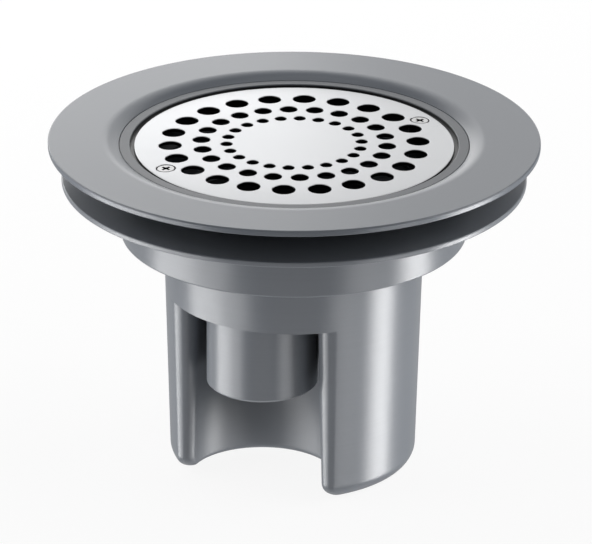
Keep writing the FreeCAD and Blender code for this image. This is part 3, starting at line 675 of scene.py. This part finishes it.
class Nodes:
    """The nodes of one material or world."""

    def __init__(self, owner):
        owner.use_nodes = True
        self.tree = owner.node_tree
        self.tree.nodes.clear()

    def add(self, kind, settings=None, sockets=None, output=0):
        """A node of a kind: its settings first, then the values or links of its sockets. What
        comes back is the named or numbered output."""
        node = self.tree.nodes.new(kind)
        for name, value in (settings or {}).items():
            setattr(node, name, value)
        for name, value in (sockets or {}).items():
            if isinstance(value, Wire):
                self.tree.links.new(value.socket, node.inputs[name])
            else:
                node.inputs[name].default_value = value
        return Wire(self, node.outputs[output]) if node.outputs else node


print("new finishes start from", len(bpy.data.materials), "materials in the frame")

# %% [markdown]
# Three helpers serve several finishes: one picks a coordinate, one ramps smoothly between
# two places, and one puts a finish on a piece. The gap round the clamp ring and the walls of
# the holes are dark on the real trap, because little light comes down there. Dimmer lamps
# would darken all of it, so the colour itself falls off below a height.

# %% A coordinate, a smooth ramp, and a finish for a piece
def axis_of(nodes, place, axis):
    """One of the X, Y and Z of a place, in metres."""
    return nodes.add("ShaderNodeSeparateXYZ", {}, {"Vector": place}, output=axis)


def rising(nodes, value, low, high, least=0.0):
    """least where the value is below low, 1 where it is above high, both in mm, and between
    them least + (1 - least) x t^2 x (3 - 2t), where t goes from 0 to 1."""
    return nodes.add("ShaderNodeMapRange", {"interpolation_type": "SMOOTHSTEP"}, {
        "Value": value, "From Min": low * MM, "From Max": high * MM,
        "To Min": least, "To Max": 1.0})


def finish_with(thing, material):
    """Puts a material on a new piece or on every slot of a frame node."""
    if not thing.data.materials:
        thing.data.materials.append(material)
    for place in range(len(thing.data.materials)):
        thing.data.materials[place] = material
    print(thing.name, "has", material.name)


# %% [markdown]
# ### Duller in the bite
# The wall of the bite shines less than the rest of the body, as a less polished part of a
# mould leaves it. It could be a second material on some faces, but that would have a hard
# border. A mask on the distance from the bite's axis has a soft one.

# %% A mask for the wall of the bite
def in_bite(nodes, place, edges=(21.5, 23.0, 26.2, 27.6)):
    """1 on the bite's wall and 0 elsewhere: below the ceiling, the distance from the bite's
    axis lies between the second and the third edge, in mm. It falls smoothly to the first and
    the fourth."""
    x, y, z = (axis_of(nodes, place, axis) for axis in "XYZ")
    away = y - BITE_Y * MM
    distance = nodes.add("ShaderNodeMath", {"operation": "SQRT"}, {0: x * x + away * away})
    near, full, last, far = edges
    rise = rising(nodes, distance, near, full)
    beyond = rising(nodes, distance, last, far)
    below = nodes.add("ShaderNodeMath", {"operation": "LESS_THAN"}, {
        0: z, 1: (CEILING - 0.1) * MM})
    return rise * (1 - beyond) * below


print("the bite's wall leans from", BITE_RADIUS, "to",
      round(BITE_RADIUS - CEILING * DRAFT, 2), "mm from its axis")

# %% [markdown]
# ### Grey moulded plastic
# An even grey with the faintest clouding, faint lines round it that the tool has left, and a
# satin skin with a fine grain. Image textures would need a map for each piece, and would
# blur close by. Noise on the object's own coordinates needs neither: stretched flat it gives
# the lines, and very fine it feeds a Bump node for the grain.

# %% Grey plastic
def plastic(name, colour, roughness, grain=0.12, shaded=None, duller=0.0):
    """shaded is a low and a high height in mm and the part of the colour that is left below the low
    one, as painted shade.
    duller is how much rougher the wall of the bite is."""
    material = bpy.data.materials.new(name)
    nodes = Nodes(material)
    place = nodes.add("ShaderNodeTexCoord", output="Object")
    clouds = nodes.add("ShaderNodeTexNoise", {}, {"Vector": place, "Scale": 14.0, "Detail": 2.0})
    fine = nodes.add("ShaderNodeTexNoise", {}, {"Vector": place, "Scale": 1500.0, "Detail": 1.0})
    specks = nodes.add("ShaderNodeTexNoise", {}, {"Vector": place, "Scale": 900.0, "Detail": 1.0})
    stretched = nodes.add("ShaderNodeMapping", {}, {
        "Vector": place, "Scale": (9.0, 9.0, 1300.0)})
    lines = nodes.add("ShaderNodeTexNoise", {}, {"Vector": stretched, "Scale": 1.0, "Detail": 2.0})
    shade = clouds * 0.05 + specks * 0.03 + lines * 0.08 + 0.92
    # Painted shade: below the heights in shaded the colour falls off, where little light comes
    # down.
    if shaded:
        shade = shade * rising(nodes, axis_of(nodes, place, "Z"), *shaded)
    tint = nodes.add("ShaderNodeVectorMath", {"operation": "SCALE"}, {0: colour, "Scale": shade})
    bump = nodes.add("ShaderNodeBump", {}, {"Height": fine, "Strength": grain, "Distance": 0.00004})
    gloss = clouds * 0.02 + lines * 0.025 + (roughness - 0.0225)
    if duller:
        gloss = gloss + in_bite(nodes, place) * duller
    surface = nodes.add("ShaderNodeBsdfPrincipled", {}, {
        "Base Color": tint, "Roughness": gloss, "Normal": bump, "IOR": 1.5})
    nodes.add("ShaderNodeOutputMaterial", {}, {"Surface": surface})
    return material


body_plastic = plastic("grey_plastic_body", (0.128, 0.138, 0.154), 0.3, duller=0.15)
# The flange's colour falls to 0.35 below the pocket's floor: painted shade on the walls that hang
# into the gap between the two flanges and down into the collar.
flange_plastic = plastic("grey_plastic_flange", (0.1, 0.111, 0.128), 0.3,
                         shaded=(POCKET_FLOOR, POCKET_FLOOR + 0.6, 0.35))
# The ring's grey is darker than the flange's, though it is the same plastic: a shaded copy for its
# place below the lip. Below its top the colour falls further to 0.08, painted shade in the gaps
# round the grate and against the pocket's wall.
ring_plastic = plastic("grey_plastic_ring", (0.058, 0.064, 0.073), 0.42,
                       shaded=(RING_TOP - 0.6, RING_TOP - 0.25, 0.08))
# The insert is dark plastic, and nearly black here as painted shade, so that the hollow under the
# grate reads dark through the holes.
insert_plastic = plastic("insert_plastic", (0.016, 0.017, 0.018), 0.5)
finish_with(flange, flange_plastic)
finish_with(ring, ring_plastic)
finish_with(body, body_plastic)
finish_with(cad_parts["dip_insert"], insert_plastic)

# %% [markdown]
# ### Stainless steel
# The sheet is mill finished, drawn in one direction. The Anisotropic socket could stretch its
# highlights, but shows no streaks close by. Long thin streaks of noise along X do both: they change
# the roughness a little, and the surface through a Bump node. Little light comes down the walls of
# the punched holes, round the sheet's edge and into the screws' countersinks, so the colour falls
# off just below the crowned top, as painted shade.

# %% Stainless steel
def steel(name, colour, roughness, streaks=0.12, depth=0.22):
    """Painted shade makes the metal dark from that depth in mm below the sheet's top. streaks is
    the strength of the bump along them."""
    material = bpy.data.materials.new(name)
    nodes = Nodes(material)
    place = nodes.add("ShaderNodeTexCoord", output="Object")
    drawn = nodes.add("ShaderNodeMapping", {}, {
        "Vector": place, "Scale": (30.0, 1800.0, 400.0)})
    lines = nodes.add("ShaderNodeTexNoise", {}, {"Vector": drawn, "Scale": 1.0, "Detail": 4.0})
    clouds = nodes.add("ShaderNodeTexNoise", {}, {"Vector": place, "Scale": 35.0, "Detail": 2.0})
    x, y, z = (axis_of(nodes, place, axis) for axis in "XYZ")
    outward = (x * x + y * y) * (GRATE_RADIUS * MM) ** -2
    flattened = z - (1 - outward * outward) * (GRATE_CROWN * MM)
    # Painted shade: the colour falls to 0.02 from the given depth below the crowned top.
    shade = (lines * 0.05 + clouds * 0.03 + 0.96) * rising(
        nodes, flattened, GRATE_TOP - depth, GRATE_TOP - 0.03, 0.02)
    tint = nodes.add("ShaderNodeVectorMath", {"operation": "SCALE"}, {0: colour, "Scale": shade})
    bump = nodes.add("ShaderNodeBump", {}, {
        "Height": lines, "Strength": streaks, "Distance": 0.00002})
    surface = nodes.add("ShaderNodeBsdfPrincipled", {}, {
        "Base Color": tint, "Metallic": 1.0, "Normal": bump,
        "Roughness": lines * 0.08 + clouds * 0.03 + (roughness - 0.055)})
    nodes.add("ShaderNodeOutputMaterial", {}, {"Surface": surface})
    return material


sheet_steel = steel("stainless_sheet", (0.392, 0.397, 0.406), 0.34)
screw_steel = steel("stainless_screw", (0.45, 0.45, 0.45), 0.34, streaks=0.03)
finish_with(grate, sheet_steel)
for screw_piece in screws:
    finish_with(screw_piece, screw_steel)

# %% [markdown]
# ### Black rubber
# The two seals are soft black rings with a faint bloom. They could be made again as tori,
# but they don't show from outside, so they stay the frame's own solids, and one plain
# material with a little noise in its roughness is enough.

# %% Black rubber
def rubber(name):
    """Nearly black and matt, its roughness between 0.55 and 0.7."""
    material = bpy.data.materials.new(name)
    nodes = Nodes(material)
    place = nodes.add("ShaderNodeTexCoord", output="Object")
    bloom = nodes.add("ShaderNodeTexNoise", {}, {"Vector": place, "Scale": 300.0, "Detail": 3.0})
    surface = nodes.add("ShaderNodeBsdfPrincipled", {}, {
        "Base Color": (0.02, 0.02, 0.02, 1.0), "Roughness": bloom * 0.15 + 0.55})
    nodes.add("ShaderNodeOutputMaterial", {}, {"Surface": surface})
    return material


seal_rubber = rubber("black_rubber")
for seal in ("insert_seal", "spigot_seal"):
    finish_with(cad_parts[seal], seal_rubber)

# %% [markdown]
# ## The studio
# The camera stands where the photographer stood: two metres off, well above the trap, with a
# long lens. It could be aimed by hand, but its place was worked out from the ellipses that
# the round edges show, so it is built from those angles: a turn about Z, a tilt and a lean.

# %% Camera
CAMERA_AZIMUTH = 25.0
SENSOR_MM = 36.0


def camera(distance=1.9896, azimuth=CAMERA_AZIMUTH, elevation=21.46, pitch=22.793, yaw=0.027,
           roll=0.32, focal_px=5552.0, width_px=592):
    """Angles are in degrees and the distance in metres, from the middle of the ring's top. The
    lens is the focal length in pixels x the sensor's width / the picture's width."""
    turn, rise = math.radians(azimuth), math.radians(elevation)
    aim = Vector((0, 0, RING_TOP * MM))
    back = Vector((math.sin(turn) * math.cos(rise), -math.cos(turn) * math.cos(rise),
                   math.sin(rise)))
    data = bpy.data.cameras.new("camera")
    data.sensor_width = SENSOR_MM
    data.sensor_fit = "HORIZONTAL"
    data.lens = focal_px * SENSOR_MM / width_px
    data.clip_start, data.clip_end = 0.05, 50.0
    eye = bpy.data.objects.new("camera", data)
    spin = Matrix.Rotation(turn - math.radians(yaw), 4, "Z")
    tilt = Matrix.Rotation(math.pi / 2 - math.radians(pitch), 4, "X")
    lean = Matrix.Rotation(math.radians(roll), 4, "Z")
    eye.matrix_world = Matrix.Translation(aim + back * distance) @ spin @ tilt @ lean
    bpy.context.scene.collection.objects.link(eye)
    bpy.context.scene.camera = eye
    print("lens", round(data.lens, 1), "mm")


camera()

# %% [markdown]
# The background is white, and that white comes from the world and the floor, never from more
# light on the trap. To the camera the world is white at a strength of 1, to the steel it is
# a dim 0.3, and it sends no other light. To the camera the floor is nine parts white glow
# and one part matt, so that it keeps the trap's shadow. To all other rays it is mostly
# clear, so that the lamps below it shine through, as through a light table.

# %% World and floor
HALF_FLOOR = 6.0
FLOOR_HEIGHT = -0.0002

world = bpy.data.worlds.new("studio")
bpy.context.scene.world = world
sky = Nodes(world)
sky_strength = (sky.add("ShaderNodeLightPath", output="Is Camera Ray")
                + sky.add("ShaderNodeLightPath", output="Is Glossy Ray") * 0.3)
sky.add("ShaderNodeOutputWorld", {}, {"Surface": sky.add(
    "ShaderNodeBackground", {}, {"Color": (1, 1, 1, 1), "Strength": sky_strength})})

floor_mesh = bpy.data.meshes.new("floor")
floor_mesh.from_pydata([(x * HALF_FLOOR, y * HALF_FLOOR, FLOOR_HEIGHT) for x, y in
                        ((-1, -1), (1, -1), (1, 1), (-1, 1))], [], [(0, 1, 2, 3)])
floor = bpy.data.objects.new("floor", floor_mesh)
bpy.context.scene.collection.objects.link(floor)
table = bpy.data.materials.new("floor")
ground = Nodes(table)
matt = ground.add("ShaderNodeBsdfDiffuse", {}, {"Color": (0.8, 0.8, 0.8, 1)})
clear = ground.add("ShaderNodeBsdfTransparent")
glow = ground.add("ShaderNodeEmission", {}, {"Color": (1, 1, 1, 1), "Strength": 1.0})
seen = ground.add("ShaderNodeLightPath", output="Is Camera Ray")
glass = ground.add("ShaderNodeMixShader", {}, {0: 0.75, 1: matt, 2: clear})
white = ground.add("ShaderNodeMixShader", {}, {0: 0.9, 1: matt, 2: glow})
ground.add("ShaderNodeOutputMaterial", {}, {
    "Surface": ground.add("ShaderNodeMixShader", {}, {0: seen, 1: glass, 2: white})})
floor_mesh.materials.append(table)
bpy.context.scene.view_settings.view_transform = "Standard"
print("the floor is", 2 * HALF_FLOOR, "m wide")

# %% [markdown]
# The trap is lit softly from all round. An image of a studio on the world could do it, but
# area lamps are easier to place: three behind it and two beside it make the bands of light
# on the steel, and the low ones, below the floor's level, light the bowl from its sides.
# The lamps in front and above are dim, and that keeps the bite dark.

# %% Lamps
def softbox(name, place, aim, size, radiance):
    """An area lamp. Its power is its radiance times pi times its area."""
    data = bpy.data.lights.new(name, "AREA")
    data.shape, data.size, data.size_y = "RECTANGLE", size[0], size[1]
    data.energy = radiance * math.pi * size[0] * size[1]
    lamp = bpy.data.objects.new(name, data)
    lamp.location = place
    lamp.rotation_euler = (Vector(aim) - Vector(place)).to_track_quat("-Z", "Y").to_euler()
    bpy.context.scene.collection.objects.link(lamp)
    print(name, "gives", round(data.energy, 2), "W")


def around(azimuth, elevation, distance, rise_from=0.06):
    """A place seen from the trap, its azimuth counted from the camera's side to the right."""
    turn, rise = math.radians(azimuth + CAMERA_AZIMUTH), math.radians(elevation)
    return (distance * math.sin(turn) * math.cos(rise), -distance * math.cos(turn) * math.cos(rise),
            distance * math.sin(rise) + rise_from)


GRATE_AIM, BOWL_AIM = (0, 0, 0.1), (0, 0, 0.06)
softbox("back_left", around(204, 16, 0.8), GRATE_AIM, (0.68, 0.42), 2.5)
softbox("back_right", around(166, 16, 0.8), GRATE_AIM, (0.4, 0.42), 1.2)
softbox("back_high", around(183, 38, 0.9), GRATE_AIM, (0.9, 0.26), 1.2)
softbox("right_high", around(95, 34, 1.1), BOWL_AIM, (1.1, 0.9), 2.8)
softbox("left_high", around(-95, 34, 1.1), BOWL_AIM, (1.1, 0.9), 2.5)
softbox("front_high", around(10, 28, 1.1), BOWL_AIM, (0.9, 0.4), 0.9)
softbox("top", (0, 0, 1.5), GRATE_AIM, (1.2, 1.2), 0.7)
softbox("right_low", around(86, -20, 0.9), BOWL_AIM, (0.34, 0.6), 18)
softbox("left_low", around(-86, -18, 0.9), BOWL_AIM, (0.5, 0.6), 9.5)
softbox("right_front", around(46, -22, 0.9), BOWL_AIM, (0.35, 0.6), 3.6)
softbox("left_front", around(-57, -22, 0.9), BOWL_AIM, (0.45, 0.6), 5.4)
softbox("front_low", around(0, -26, 0.9), BOWL_AIM, (0.5, 0.4), 0.8)
softbox("below", (0, 0, -0.6), BOWL_AIM, (0.8, 0.8), 0.5)
